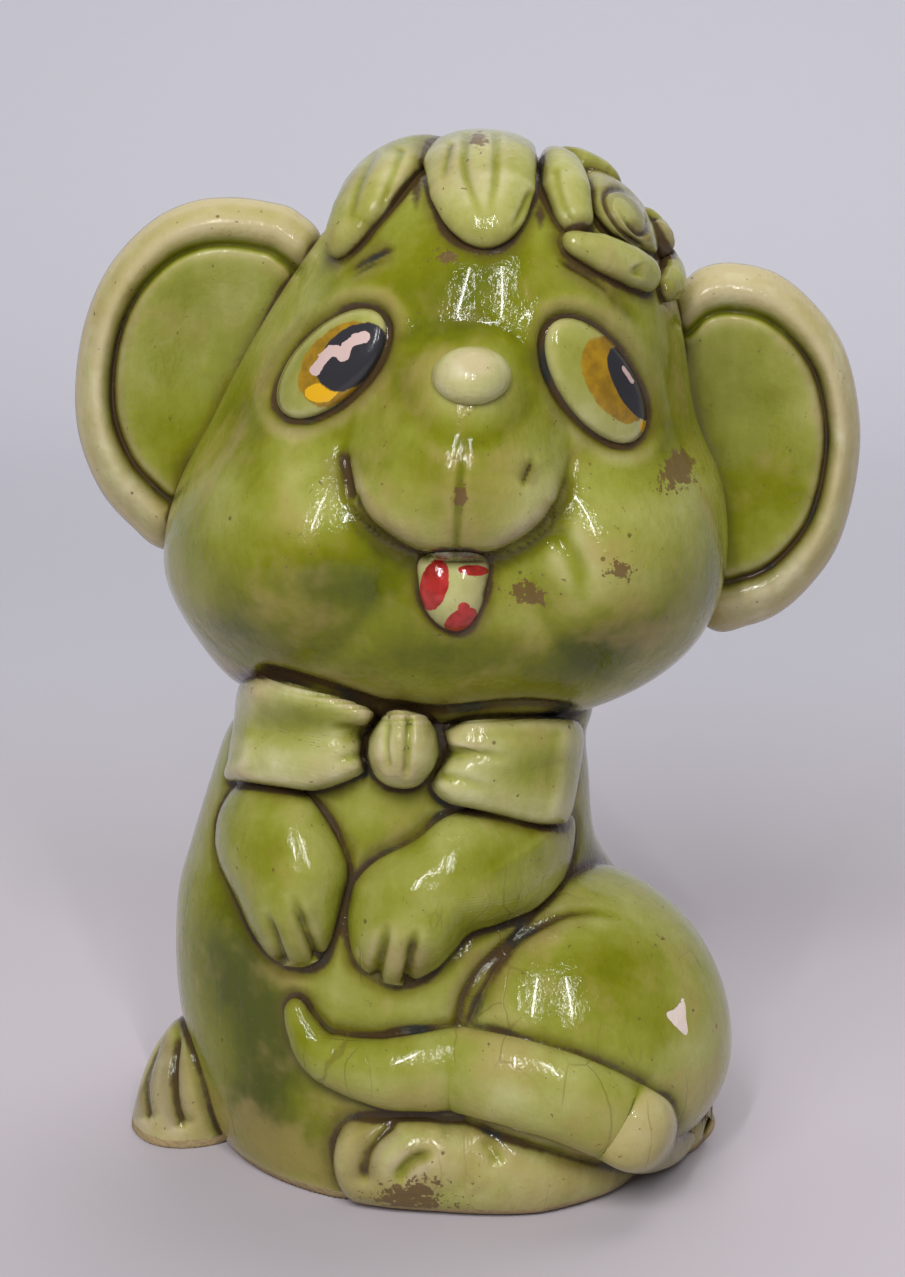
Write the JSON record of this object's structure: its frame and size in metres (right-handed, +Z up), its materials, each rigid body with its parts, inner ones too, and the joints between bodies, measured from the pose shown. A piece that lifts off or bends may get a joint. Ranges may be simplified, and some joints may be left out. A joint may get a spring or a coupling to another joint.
{
  "type": "mouse coin bank",
  "caption": "Seated mouse money bank in green glazed earthenware, with round ears, a bow, a flower, a wrapped tail and a pull-out base stopper.",
  "frame": {"origin": "middle of the whole bank's plan, on the surface it stands on", "axes": "+Z up through the head, -Y the way the mouse faces, +X the mouse's own left"},
  "size_m": [0.1164, 0.0854, 0.1496],
  "materials": {
    "green_glaze": "translucent olive green glaze, dark in the hollows, glossy",
    "pale_glaze": "thin pale yellow-green glaze over the raised modelling, glossy",
    "eye_paint": "pale glaze with an amber iris and black pupil in worn cold paint",
    "tongue_paint": "red cold paint, much of it flaked off the pale glaze",
    "stopper_rubber": "matte aged rubber"
  },
  "bodies": {
    "figure": {"head_shell": "green_glaze", "body_shell": "green_glaze", "nose": "pale_glaze", "tongue": "tongue_paint", "eye_right": "eye_paint", "eye_left": "eye_paint", "ear_right": "green_glaze", "ear_left": "green_glaze", "flower_heart": "pale_glaze", "flower_petal_1": "pale_glaze", "flower_petal_2": "pale_glaze", "flower_petal_3": "pale_glaze", "flower_petal_4": "pale_glaze", "flower_petal_5": "pale_glaze", "hair_tuft_centre": "pale_glaze", "hair_tuft_right": "pale_glaze", "bow_knot": "pale_glaze", "bow_loop_right": "pale_glaze", "bow_loop_left": "pale_glaze", "arm_left": "green_glaze", "arm_right": "green_glaze", "tail": "green_glaze", "foot_left": "pale_glaze", "haunch_left": "green_glaze", "foot_right": "pale_glaze", "haunch_right": "green_glaze"},
    "stopper": {"stopper": "stopper_rubber"}
  },
  "joints": [
    {"name": "stopper_pull", "type": "slide", "parent": "figure", "child": "stopper", "axis": [0, 0, -1], "range_m": [0, 0.03]}
  ]
}
